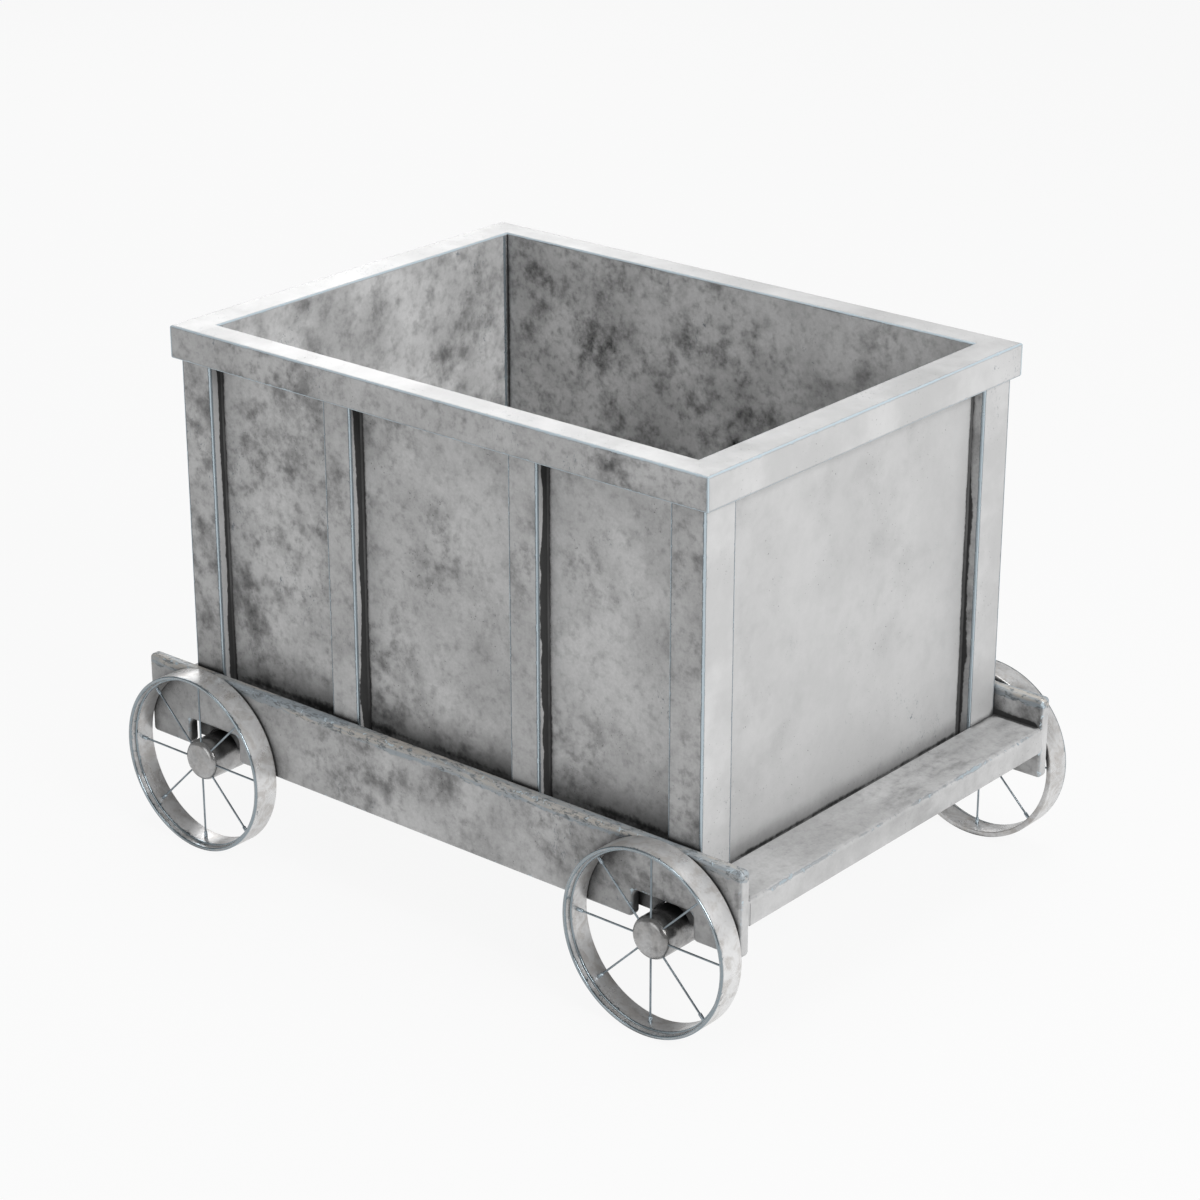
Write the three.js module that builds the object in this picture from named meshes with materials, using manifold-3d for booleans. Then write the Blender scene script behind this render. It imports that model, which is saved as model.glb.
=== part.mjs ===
// Four-wheeled mine cart: an open-topped sheet-steel tub with a hollow-section rim, carried on two
// notched side rails, bearers and two fixed axles, with four free-running wire-spoked wheels.
//
// Frame: millimetres, +X along the cart, +Y to its left, +Z up, origin on the floor under its middle.
// Facing +X, "front" is +X, "rear" is -X, "left" is +Y and "right" is -Y.
import * as THREE from "three";
import { mergeVertices } from "three/addons/utils/BufferGeometryUtils.js";
import Module from "manifold-3d";

const wasm = await Module();
wasm.setup();

// ---- Driving dimensions ----------------------------------------------------------------------

const FIT_GAP = 0.3; // clearance between pieces that touch
const SHEET = 4; // wall of the tub's folded sheet parts

// Rim: four mitred lengths of hollow section round the mouth of the tub.
const RIM_TOP = 971.5;
const RIM_HEIGHT = 60.5;
const MOUTH_HALF_LENGTH = 537;
const MOUTH_HALF_WIDTH = 382;
const RIM_HALF_LENGTH = 600;
const RIM_HALF_WIDTH = 437.5;
const RIM_WALL = 4;
const RIM_EDGE_RADIUS = 5;
const RIM_CORNER_DIVISIONS = 2;

// Tub: straight walls of skin, liner, corner posts and battens.
const TUB_HALF_LENGTH = 586.5;
const TUB_HALF_WIDTH = 426;
const SIDE_SKIN_FACE = 398.2;
const END_SKIN_FACE = 561.3;
const POST_ALONG_SIDE = 69.5;
const POST_ALONG_END = 78.5;
const BATTEN_INNER_X = 178;
const BATTEN_WIDTH = 62.5;

// Underframe.
const FLOOR_UNDERSIDE = 222;
const FLOOR_THICKNESS = 5;
const BEARER_BOTTOM = 184.5;
const BEARER_OUTER_Y = 426.7;
const BEARER_WIDTH = 30;
const ARCH_CLEARANCE = 4;
const ARCH_STEPS = 8;
const END_BEARER_WIDTH = 22;
const BOLSTER_HALF_LENGTH = 372;
const BOLSTER_WIDTH = 70;
const KEEPER_WIDTH = 90;
const KEEPER_THICKNESS = 25;
const KEEPER_BOTTOM = 138;
const KEEPER_Y = 357.5;
const KEEPER_CORNER = 10;
const SEAT_STEPS = 7;

// Side rails and end sills.
const RAIL_HALF_LENGTH = 689;
const RAIL_INNER_Y = 427;
const RAIL_THICKNESS = 24;
const RAIL_BOTTOM = 170.5;
const RAIL_TOP = 326;
const RAIL_CORNER = 8.5;
const RAIL_EDGE = 7.5;
const NOTCH_X = 526;
const NOTCH_HALF_WIDTH = 63.5;
const NOTCH_TOP = 222;
const NOTCH_TOP_RADIUS = 12;
const NOTCH_FOOT_RADIUS = 9;
const SILL_OUTER_X = 689;
const SILL_TOP = 270;
const SILL_BOTTOM = 223;
const SILL_WALL = 5;
const SILL_EDGE = 8;

// Wheels and axles: distances along the axle are measured from the cart's middle.
const AXLE_X = 528;
const WHEEL_RADIUS = 168;
const TYRE_SECTION = 6;
const RIM_BAND_RADIUS = 157.5;
const WHEEL_OUTER_Y = 507;
const WHEEL_INNER_Y = 455;
const REBATE_DEPTH = 10;
const WHEEL_STEPS = 48;
const SPOKE_COUNT = 8;
const SPOKE_RADIUS = 2;
const SPOKE_Y = 480.5;
const SPOKE_STEPS = 6;
const HUB_RADIUS = 38.5;
const HUB_STEPS = 32;
const HUB_INNER_Y = 384;
const HUB_OUTER_Y = 484;
const HUB_EDGE_RADIUS = 8;
const CAP_FACE_Y = 488;
const CAP_THICKNESS = 8;
const CAP_SPIGOT_Y = 470;
const CAP_SPIGOT_WALL = 4;
const NUT_POCKET_RADIUS = 30;
const NUT_POCKET_Y = 446;
const BUSH_RADIUS = 22;
const AXLE_RADIUS = 18;
const AXLE_HALF_LENGTH = 466;
const AXLE_STEPS = 24;
const AXLE_CHAMFER = 2;
const COLLAR_RADIUS = 27;
const COLLAR_INNER_Y = 373;
const NUT_ACROSS_FLATS = 46;
const NUT_INNER_Y = 449;
const NUT_HEIGHT = 15;

const RIM_BOTTOM = RIM_TOP - RIM_HEIGHT;
const FLOOR_TOP = FLOOR_UNDERSIDE + FLOOR_THICKNESS;
const WALL_BOTTOM = FLOOR_TOP + FIT_GAP;
const WALL_TOP = RIM_BOTTOM - FIT_GAP;
const BEARER_TOP = FLOOR_UNDERSIDE - FIT_GAP;

const ENDS = [["front", 1], ["rear", -1]];
const SIDES = [["left", 1], ["right", -1]];

// ---- Materials -------------------------------------------------------------------------------

const metal = (color, roughness, metalness) =>
  new THREE.MeshStandardMaterial({ color, roughness, metalness });
const GALVANISED_SHEET = metal(0x9c9e9d, 0.6, 0.55);
const GALVANISED_FRAME = metal(0x94979a, 0.55, 0.6);
const WHEEL_STEEL = metal(0xa2a2a0, 0.5, 0.65);
const BARE_STEEL = metal(0x6f7174, 0.4, 0.9);
const BRONZE = metal(0x8a6a3e, 0.4, 0.9);

// ---- Geometry helpers ------------------------------------------------------------------------

// An outline from corners [x, y, radius], each non-zero radius turned into an arc.
function roundedShape(corners) {
  const shape = new THREE.Shape();
  corners.forEach(([x, y, radius = 0], i) => {
    const corner = new THREE.Vector2(x, y);
    const [px, py] = corners.at(i - 1);
    const [nx, ny] = corners[(i + 1) % corners.length];
    const inward = corner.clone().sub(new THREE.Vector2(px, py)).normalize();
    const onward = new THREE.Vector2(nx, ny).sub(corner).normalize();
    const turn = Math.sign(inward.cross(onward));
    const setback = radius * Math.tan(Math.acos(inward.dot(onward)) / 2);
    const start = corner.clone().addScaledVector(inward, -setback);
    if (i === 0) {
      shape.moveTo(start.x, start.y);
    } else {
      shape.lineTo(start.x, start.y);
    }
    if (radius > 0) {
      const end = corner.clone().addScaledVector(onward, setback);
      const toCentre = new THREE.Vector2(-inward.y, inward.x).multiplyScalar(turn * radius);
      const centre = start.clone().add(toCentre);
      const from = start.sub(centre).angle();
      const to = end.sub(centre).angle();
      shape.absarc(centre.x, centre.y, radius, from, to, turn < 0);
    }
  });
  return shape;
}

// The outline (x, y) raised along Z between two heights.
function raised(shape, bottom, top, curveSegments = 4) {
  const geometry = new THREE.ExtrudeGeometry(shape, {
    depth: top - bottom,
    bevelEnabled: false,
    curveSegments,
  });
  return geometry.translate(0, 0, bottom);
}

// The outline (x, z) drawn out along Y between two offsets, with its long edges rounded off by edge.
function acrossY(shape, from, to, edge = 0, curveSegments = 2) {
  const geometry = new THREE.ExtrudeGeometry(shape, {
    depth: to - from - 2 * edge,
    bevelEnabled: edge > 0,
    bevelThickness: edge,
    bevelSize: edge,
    bevelOffset: -edge,
    bevelSegments: 2,
    curveSegments,
  });
  return geometry.rotateX(Math.PI / 2).translate(0, to - edge, 0);
}

// The outline (y, z) drawn out along X between two offsets.
function alongX(shape, from, to) {
  const geometry = new THREE.ExtrudeGeometry(shape, {
    depth: to - from,
    bevelEnabled: false,
    curveSegments: 4,
  });
  const basis = new THREE.Matrix4().makeBasis(
    new THREE.Vector3(0, 1, 0),
    new THREE.Vector3(0, 0, 1),
    new THREE.Vector3(1, 0, 0),
  );
  return geometry.applyMatrix4(basis).translate(from, 0, 0);
}

// A box between two corners.
function block([x0, y0, z0], [x1, y1, z1]) {
  const geometry = new THREE.BoxGeometry(x1 - x0, y1 - y0, z1 - z0);
  return geometry.translate((x0 + x1) / 2, (y0 + y1) / 2, (z0 + z1) / 2);
}

// A body of revolution about Y from points [radius, y], listed so that the solid is on their left.
function turned(points, steps) {
  return new THREE.LatheGeometry(points.map(([r, y]) => new THREE.Vector2(r, y)), steps);
}

// The points of a convex quarter round between two angles, for a lathe profile.
function quarter(radiusCentre, yCentre, radius, from, to, steps) {
  return Array.from({ length: steps + 1 }, (_, i) => {
    const angle = from + ((to - from) * i) / steps;
    return [radiusCentre + radius * Math.cos(angle), yCentre + radius * Math.sin(angle)];
  });
}

// A closed three.js geometry as a manifold solid, and back.
function toSolid(geometry) {
  const bare = geometry.clone();
  bare.deleteAttribute("normal");
  bare.deleteAttribute("uv");
  const merged = mergeVertices(bare, 1e-4);
  return new wasm.Manifold(
    new wasm.Mesh({
      numProp: 3,
      vertProperties: merged.getAttribute("position").array,
      triVerts: new Uint32Array(merged.index.array),
    }),
  );
}

function toGeometry(solid) {
  const { vertProperties, triVerts } = solid.getMesh();
  const geometry = new THREE.BufferGeometry();
  geometry.setAttribute("position", new THREE.BufferAttribute(vertProperties, 3));
  geometry.setIndex(new THREE.BufferAttribute(triVerts, 1));
  geometry.computeVertexNormals();
  return geometry;
}

const cart = new THREE.Group();

function add(name, geometry, material, parent = cart) {
  const mesh = new THREE.Mesh(geometry, material);
  mesh.name = name;
  parent.add(mesh);
  return mesh;
}

// ---- Rim -------------------------------------------------------------------------------------

// One length of hollow section along X, its outer side at +Y, with both ends cut to the mitre.
// The local origin is the middle of its inner lower edge.
function mitredTube(width, reach, slope) {
  const loop = (inset, radius) =>
    roundedShape([
      [inset, inset, radius],
      [width - inset, inset, radius],
      [width - inset, RIM_HEIGHT - inset, radius],
      [inset, RIM_HEIGHT - inset, radius],
    ]).getPoints(RIM_CORNER_DIVISIONS).slice(0, -1);
  const outer = loop(0, RIM_EDGE_RADIUS);
  const inner = loop(RIM_WALL, RIM_EDGE_RADIUS - RIM_WALL);
  const count = outer.length;
  const vertices = [-1, 1].flatMap((end) =>
    [outer, inner].flatMap((ring) =>
      ring.flatMap((p) => [end * (reach + slope * p.x - FIT_GAP / 2), p.x, p.y]),
    ),
  );
  const at = (end, ring, i) => (end * 2 + ring) * count + (i % count);
  const quads = [];
  for (let i = 0; i < count; i += 1) {
    quads.push([at(0, 0, i), at(0, 0, i + 1), at(1, 0, i + 1), at(1, 0, i)]);
    quads.push([at(0, 1, i + 1), at(0, 1, i), at(1, 1, i), at(1, 1, i + 1)]);
    quads.push([at(1, 0, i), at(1, 0, i + 1), at(1, 1, i + 1), at(1, 1, i)]);
    quads.push([at(0, 0, i + 1), at(0, 0, i), at(0, 1, i), at(0, 1, i + 1)]);
  }
  const geometry = new THREE.BufferGeometry();
  geometry.setAttribute("position", new THREE.Float32BufferAttribute(vertices, 3));
  geometry.setIndex(quads.flatMap(([a, b, c, d]) => [a, b, c, a, c, d]));
  geometry.computeVertexNormals();
  return geometry;
}

function buildRim() {
  const sideWidth = RIM_HALF_WIDTH - MOUTH_HALF_WIDTH;
  const endWidth = RIM_HALF_LENGTH - MOUTH_HALF_LENGTH;
  for (const [side, sign] of SIDES) {
    const tube = mitredTube(sideWidth, MOUTH_HALF_LENGTH, endWidth / sideWidth);
    const mesh = add(`rim_${side}`, tube, GALVANISED_FRAME);
    mesh.position.set(0, sign * MOUTH_HALF_WIDTH, RIM_BOTTOM);
    mesh.rotation.z = sign > 0 ? 0 : Math.PI;
  }
  for (const [end, sign] of ENDS) {
    const tube = mitredTube(endWidth, MOUTH_HALF_WIDTH, sideWidth / endWidth);
    const mesh = add(`rim_${end}`, tube, GALVANISED_FRAME);
    mesh.position.set(sign * MOUTH_HALF_LENGTH, 0, RIM_BOTTOM);
    mesh.rotation.z = (-sign * Math.PI) / 2;
  }
}

// ---- Tub walls -------------------------------------------------------------------------------

// A corner post folded from sheet: two faces at right angles, each returned to its skin.
function cornerPost(signX, signY) {
  const postX = TUB_HALF_LENGTH - POST_ALONG_SIDE;
  const postY = TUB_HALF_WIDTH - POST_ALONG_END;
  const skinX = END_SKIN_FACE + FIT_GAP;
  const skinY = SIDE_SKIN_FACE + FIT_GAP;
  const outline = [
    [postX, skinY],
    [postX, TUB_HALF_WIDTH],
    [TUB_HALF_LENGTH, TUB_HALF_WIDTH],
    [TUB_HALF_LENGTH, postY],
    [skinX, postY],
    [skinX, postY + SHEET],
    [TUB_HALF_LENGTH - SHEET, postY + SHEET],
    [TUB_HALF_LENGTH - SHEET, TUB_HALF_WIDTH - SHEET],
    [postX + SHEET, TUB_HALF_WIDTH - SHEET],
    [postX + SHEET, skinY],
  ];
  const shape = roundedShape(outline.map(([x, y]) => [signX * x, signY * y]));
  return raised(shape, WALL_BOTTOM, WALL_TOP);
}

// A batten: a shallow channel with its open side against the side skin.
function sideBatten(signX, signY) {
  const outerX = BATTEN_INNER_X + BATTEN_WIDTH;
  const skinY = SIDE_SKIN_FACE + FIT_GAP;
  const outline = [
    [BATTEN_INNER_X, skinY],
    [BATTEN_INNER_X, TUB_HALF_WIDTH],
    [outerX, TUB_HALF_WIDTH],
    [outerX, skinY],
    [outerX - SHEET, skinY],
    [outerX - SHEET, TUB_HALF_WIDTH - SHEET],
    [BATTEN_INNER_X + SHEET, TUB_HALF_WIDTH - SHEET],
    [BATTEN_INNER_X + SHEET, skinY],
  ];
  const shape = roundedShape(outline.map(([x, y]) => [signX * x, signY * y]));
  return raised(shape, WALL_BOTTOM, WALL_TOP);
}

// The section of a liner: a sheet flanged outward at head and foot, as (offset from centre, z).
function linerSection(face, back, sign) {
  const outline = [
    [face, WALL_BOTTOM],
    [back, WALL_BOTTOM],
    [back, WALL_BOTTOM + SHEET],
    [face + SHEET, WALL_BOTTOM + SHEET],
    [face + SHEET, WALL_TOP - SHEET],
    [back, WALL_TOP - SHEET],
    [back, WALL_TOP],
    [face, WALL_TOP],
  ];
  return roundedShape(outline.map(([offset, z]) => [sign * offset, z]));
}

function buildTub() {
  const sideSkinBack = SIDE_SKIN_FACE - SHEET;
  const endSkinBack = END_SKIN_FACE - SHEET;
  for (const [side, sy] of SIDES) {
    const [near, far] = [sy * sideSkinBack, sy * SIDE_SKIN_FACE].sort((a, b) => a - b);
    const skin = block([-END_SKIN_FACE, near, WALL_BOTTOM], [END_SKIN_FACE, far, WALL_TOP]);
    add(`side_skin_${side}`, skin, GALVANISED_SHEET);
    const section = linerSection(MOUTH_HALF_WIDTH, sideSkinBack - FIT_GAP, sy);
    const linerReach = endSkinBack - FIT_GAP;
    add(`side_liner_${side}`, alongX(section, -linerReach, linerReach), GALVANISED_SHEET);
    for (const [end, sx] of ENDS) {
      add(`corner_post_${end}_${side}`, cornerPost(sx, sy), GALVANISED_SHEET);
      add(`side_batten_${end}_${side}`, sideBatten(sx, sy), GALVANISED_SHEET);
    }
  }
  for (const [end, sx] of ENDS) {
    const [near, far] = [sx * endSkinBack, sx * END_SKIN_FACE].sort((a, b) => a - b);
    const skinReach = sideSkinBack - FIT_GAP;
    const skin = block([near, -skinReach, WALL_BOTTOM], [far, skinReach, WALL_TOP]);
    add(`end_skin_${end}`, skin, GALVANISED_SHEET);
    const section = linerSection(MOUTH_HALF_LENGTH, endSkinBack - FIT_GAP, sx);
    const linerReach = MOUTH_HALF_WIDTH - FIT_GAP;
    add(`end_liner_${end}`, acrossY(section, -linerReach, linerReach), GALVANISED_SHEET);
  }
  const plate = block(
    [-TUB_HALF_LENGTH, -TUB_HALF_WIDTH, FLOOR_UNDERSIDE],
    [TUB_HALF_LENGTH, TUB_HALF_WIDTH, FLOOR_TOP],
  );
  add("floor_plate", plate, GALVANISED_SHEET);
  const [reachX, reachY] = [MOUTH_HALF_LENGTH - FIT_GAP, MOUTH_HALF_WIDTH - FIT_GAP];
  const liner = block([-reachX, -reachY, WALL_BOTTOM], [reachX, reachY, WALL_BOTTOM + SHEET]);
  add("floor_liner", liner, GALVANISED_SHEET);
}

// ---- Underframe ------------------------------------------------------------------------------

// The section of a side rail: a deep plate with a notch over each axle.
function railShape() {
  const notch = (centre) => [
    [centre - NOTCH_HALF_WIDTH, RAIL_BOTTOM, NOTCH_FOOT_RADIUS],
    [centre - NOTCH_HALF_WIDTH, NOTCH_TOP, NOTCH_TOP_RADIUS],
    [centre + NOTCH_HALF_WIDTH, NOTCH_TOP, NOTCH_TOP_RADIUS],
    [centre + NOTCH_HALF_WIDTH, RAIL_BOTTOM, NOTCH_FOOT_RADIUS],
  ];
  return roundedShape([
    [-RAIL_HALF_LENGTH, RAIL_TOP, RAIL_CORNER],
    [-RAIL_HALF_LENGTH, RAIL_BOTTOM, RAIL_CORNER],
    ...notch(-NOTCH_X),
    ...notch(NOTCH_X),
    [RAIL_HALF_LENGTH, RAIL_BOTTOM, RAIL_CORNER],
    [RAIL_HALF_LENGTH, RAIL_TOP, RAIL_CORNER],
  ]);
}

// A side bearer with a round arch over each hub.
function bearerShape() {
  const archRadius = HUB_RADIUS + ARCH_CLEARANCE;
  const rise = BEARER_BOTTOM - WHEEL_RADIUS;
  const half = Math.sqrt(archRadius ** 2 - rise ** 2);
  const start = Math.atan2(rise, half);
  const shape = new THREE.Shape();
  shape.moveTo(-TUB_HALF_LENGTH, BEARER_BOTTOM);
  for (const centre of [-AXLE_X, AXLE_X]) {
    shape.lineTo(centre - half, BEARER_BOTTOM);
    shape.absarc(centre, WHEEL_RADIUS, archRadius, Math.PI - start, start, true);
  }
  shape.lineTo(TUB_HALF_LENGTH, BEARER_BOTTOM);
  shape.lineTo(TUB_HALF_LENGTH, BEARER_TOP);
  shape.lineTo(-TUB_HALF_LENGTH, BEARER_TOP);
  return shape;
}

// An end sill: a channel with its open side down.
function sillShape(sign) {
  const inner = TUB_HALF_LENGTH + FIT_GAP;
  const outline = [
    [inner, SILL_BOTTOM],
    [inner, SILL_TOP],
    [SILL_OUTER_X, SILL_TOP, SILL_EDGE],
    [SILL_OUTER_X, SILL_BOTTOM],
    [SILL_OUTER_X - SILL_WALL, SILL_BOTTOM],
    [SILL_OUTER_X - SILL_WALL, SILL_TOP - SILL_WALL],
    [inner + SILL_WALL, SILL_TOP - SILL_WALL],
    [inner + SILL_WALL, SILL_BOTTOM],
  ];
  return roundedShape(outline.map(([x, z, radius = 0]) => [sign * x, z, radius]));
}

// A block seated on half of the axle, above or below it: its half-round seat opens to the axle.
function seatedShape(centre, width, backZ, cornerRadius) {
  const seat = AXLE_RADIUS + FIT_GAP;
  const shape = new THREE.Shape();
  const away = Math.sign(backZ - WHEEL_RADIUS);
  const faceZ = WHEEL_RADIUS + (away * FIT_GAP) / 2;
  const start = Math.asin((faceZ - WHEEL_RADIUS) / seat);
  shape.moveTo(centre - width / 2, faceZ);
  shape.absarc(centre, WHEEL_RADIUS, seat, Math.PI - start, start, away > 0);
  shape.lineTo(centre + width / 2, faceZ);
  shape.lineTo(centre + width / 2, backZ - away * cornerRadius);
  shape.lineTo(centre + width / 2 - cornerRadius, backZ);
  shape.lineTo(centre - width / 2 + cornerRadius, backZ);
  shape.lineTo(centre - width / 2, backZ - away * cornerRadius);
  return shape;
}

function buildUnderframe() {
  for (const [side, sy] of SIDES) {
    const rail = acrossY(railShape(), RAIL_INNER_Y, RAIL_INNER_Y + RAIL_THICKNESS, RAIL_EDGE);
    const bearerInnerY = BEARER_OUTER_Y - BEARER_WIDTH;
    const bearer = acrossY(bearerShape(), bearerInnerY, BEARER_OUTER_Y, 0, ARCH_STEPS);
    add(`side_rail_${side}`, rail, GALVANISED_FRAME).rotation.z = sy > 0 ? 0 : Math.PI;
    add(`side_bearer_${side}`, bearer, GALVANISED_FRAME).rotation.z = sy > 0 ? 0 : Math.PI;
  }
  const bearerReach = BEARER_OUTER_Y - BEARER_WIDTH - FIT_GAP;
  for (const [end, sx] of ENDS) {
    const [near, far] = [sx * (TUB_HALF_LENGTH - END_BEARER_WIDTH), sx * TUB_HALF_LENGTH].sort(
      (a, b) => a - b,
    );
    const bearer = block([near, -bearerReach, BEARER_BOTTOM], [far, bearerReach, BEARER_TOP]);
    add(`end_bearer_${end}`, bearer, GALVANISED_FRAME);
    const sillReach = RAIL_INNER_Y - FIT_GAP;
    add(`end_sill_${end}`, acrossY(sillShape(sx), -sillReach, sillReach), GALVANISED_FRAME);

    const bolster = seatedShape(sx * AXLE_X, BOLSTER_WIDTH, BEARER_TOP, 0);
    const reach = BOLSTER_HALF_LENGTH;
    const beam = acrossY(bolster, -reach, reach, 0, SEAT_STEPS);
    add(`axle_bolster_${end}`, beam, GALVANISED_FRAME);
    const keeper = seatedShape(sx * AXLE_X, KEEPER_WIDTH, KEEPER_BOTTOM, KEEPER_CORNER);
    for (const [side, sy] of SIDES) {
      const strap = acrossY(keeper, -KEEPER_THICKNESS / 2, KEEPER_THICKNESS / 2, 0, SEAT_STEPS);
      add(`axle_keeper_${end}_${side}`, strap, GALVANISED_FRAME).position.y = sy * KEEPER_Y;
    }
    add(`axle_${end}`, axle(), BARE_STEEL).position.set(sx * AXLE_X, 0, WHEEL_RADIUS);
  }
}

// ---- Running gear ----------------------------------------------------------------------------

// A fixed axle with a thrust collar inboard of each hub.
function axle() {
  const collarOuter = HUB_INNER_Y - FIT_GAP;
  const half = [
    [AXLE_RADIUS, COLLAR_INNER_Y],
    [COLLAR_RADIUS, COLLAR_INNER_Y],
    [COLLAR_RADIUS, collarOuter],
    [AXLE_RADIUS, collarOuter],
    [AXLE_RADIUS, AXLE_HALF_LENGTH - AXLE_CHAMFER],
    [AXLE_RADIUS - AXLE_CHAMFER, AXLE_HALF_LENGTH],
    [0, AXLE_HALF_LENGTH],
  ];
  const mirrored = half.map(([r, y]) => [r, -y]).reverse();
  return turned([...mirrored, ...half], AXLE_STEPS);
}

// The wheel rim: a flat tread on a thicker band, rebated behind its outer lip.
function wheelRim() {
  const lipRadius = WHEEL_RADIUS - TYRE_SECTION;
  const edge = TYRE_SECTION / 3;
  const points = [
    [RIM_BAND_RADIUS, WHEEL_INNER_Y + edge],
    [RIM_BAND_RADIUS + edge, WHEEL_INNER_Y],
    [WHEEL_RADIUS - edge, WHEEL_INNER_Y],
    [WHEEL_RADIUS, WHEEL_INNER_Y + edge],
    [WHEEL_RADIUS, WHEEL_OUTER_Y - edge],
    [WHEEL_RADIUS - edge, WHEEL_OUTER_Y],
    [lipRadius + edge, WHEEL_OUTER_Y],
    [lipRadius, WHEEL_OUTER_Y - edge],
    [lipRadius, WHEEL_OUTER_Y - REBATE_DEPTH],
    [RIM_BAND_RADIUS, WHEEL_OUTER_Y - REBATE_DEPTH],
    [RIM_BAND_RADIUS, WHEEL_INNER_Y + edge],
  ];
  return turned(points, WHEEL_STEPS);
}

// The hub barrel and its spokes, which turn as one piece on the bush.
function spider() {
  const bore = BUSH_RADIUS + FIT_GAP;
  const roundCentre = [HUB_RADIUS - HUB_EDGE_RADIUS, CAP_FACE_Y - HUB_EDGE_RADIUS];
  const seam = Math.asin((HUB_OUTER_Y - roundCentre[1]) / HUB_EDGE_RADIUS);
  const profile = [
    [bore, HUB_INNER_Y],
    [HUB_RADIUS, HUB_INNER_Y],
    ...quarter(...roundCentre, HUB_EDGE_RADIUS, 0, seam, 1),
    [NUT_POCKET_RADIUS, HUB_OUTER_Y],
    [NUT_POCKET_RADIUS, NUT_POCKET_Y],
    [bore, NUT_POCKET_Y],
    [bore, HUB_INNER_Y],
  ];
  const rootRadius = (NUT_POCKET_RADIUS + HUB_RADIUS) / 2;
  const tipRadius = RIM_BAND_RADIUS - 2 * FIT_GAP;
  let solid = toSolid(turned(profile, HUB_STEPS));
  for (let i = 0; i < SPOKE_COUNT; i += 1) {
    const length = tipRadius - rootRadius;
    const spoke = new THREE.CylinderGeometry(SPOKE_RADIUS, SPOKE_RADIUS, length, SPOKE_STEPS);
    spoke.rotateZ(Math.PI / 2).translate(rootRadius + length / 2, SPOKE_Y, 0);
    spoke.rotateY((i * 2 * Math.PI) / SPOKE_COUNT);
    solid = solid.add(toSolid(spoke));
  }
  return toGeometry(solid);
}

// The hub cap: a disc whose rounded edge continues the barrel's, with a spigot into the nut pocket.
function hubCap() {
  const roundCentre = [HUB_RADIUS - HUB_EDGE_RADIUS, CAP_FACE_Y - HUB_EDGE_RADIUS];
  const seatY = HUB_OUTER_Y + FIT_GAP;
  const seam = Math.asin((seatY - roundCentre[1]) / HUB_EDGE_RADIUS);
  const spigotRadius = NUT_POCKET_RADIUS - FIT_GAP;
  return turned(
    [
      [0, CAP_FACE_Y - CAP_THICKNESS],
      [spigotRadius - CAP_SPIGOT_WALL, CAP_FACE_Y - CAP_THICKNESS],
      [spigotRadius - CAP_SPIGOT_WALL, CAP_SPIGOT_Y],
      [spigotRadius, CAP_SPIGOT_Y],
      [spigotRadius, seatY],
      ...quarter(...roundCentre, HUB_EDGE_RADIUS, seam, Math.PI / 2, 3),
      [0, CAP_FACE_Y],
    ],
    HUB_STEPS,
  );
}

function bush() {
  const bore = AXLE_RADIUS + FIT_GAP;
  return turned(
    [
      [bore, HUB_INNER_Y],
      [BUSH_RADIUS, HUB_INNER_Y],
      [BUSH_RADIUS, NUT_POCKET_Y],
      [bore, NUT_POCKET_Y],
      [bore, HUB_INNER_Y],
    ],
    AXLE_STEPS,
  );
}

// A hexagon nut on the end of the axle.
function axleNut() {
  const bore = AXLE_RADIUS + FIT_GAP;
  const cornerRadius = NUT_ACROSS_FLATS / Math.sqrt(3);
  const shape = new THREE.Shape();
  for (let i = 0; i < 6; i += 1) {
    const angle = (i * Math.PI) / 3;
    const corner = [cornerRadius * Math.cos(angle), cornerRadius * Math.sin(angle)];
    if (i === 0) {
      shape.moveTo(...corner);
    } else {
      shape.lineTo(...corner);
    }
  }
  const hole = new THREE.Path();
  hole.absarc(0, 0, bore, 0, 2 * Math.PI, false);
  shape.holes.push(hole);
  return acrossY(shape, NUT_INNER_Y, NUT_INNER_Y + NUT_HEIGHT, 0, AXLE_STEPS / 2);
}

function buildWheels() {
  for (const [end, sx] of ENDS) {
    for (const [side, sy] of SIDES) {
      const wheel = new THREE.Group();
      wheel.position.set(sx * AXLE_X, 0, WHEEL_RADIUS);
      wheel.rotation.z = sy > 0 ? 0 : Math.PI;
      cart.add(wheel);
      add(`wheel_rim_${end}_${side}`, wheelRim(), WHEEL_STEEL, wheel);
      add(`wheel_spider_${end}_${side}`, spider(), WHEEL_STEEL, wheel);
      add(`hub_cap_${end}_${side}`, hubCap(), WHEEL_STEEL, wheel);
      add(`hub_bush_${end}_${side}`, bush(), BRONZE, wheel);
      add(`axle_nut_${end}_${side}`, axleNut(), BARE_STEEL, wheel);
    }
  }
}

buildRim();
buildTub();
buildUnderframe();
buildWheels();

export default cart;
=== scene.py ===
"""Looks for the mine cart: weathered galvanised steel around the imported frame.

Metres, +X along the cart, +Y to its left, +Z up. Facing +X, "right" is -Y, the long side that the
camera sees.
"""

import math

import bmesh
import bpy
from mathutils import Matrix, Vector


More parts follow.
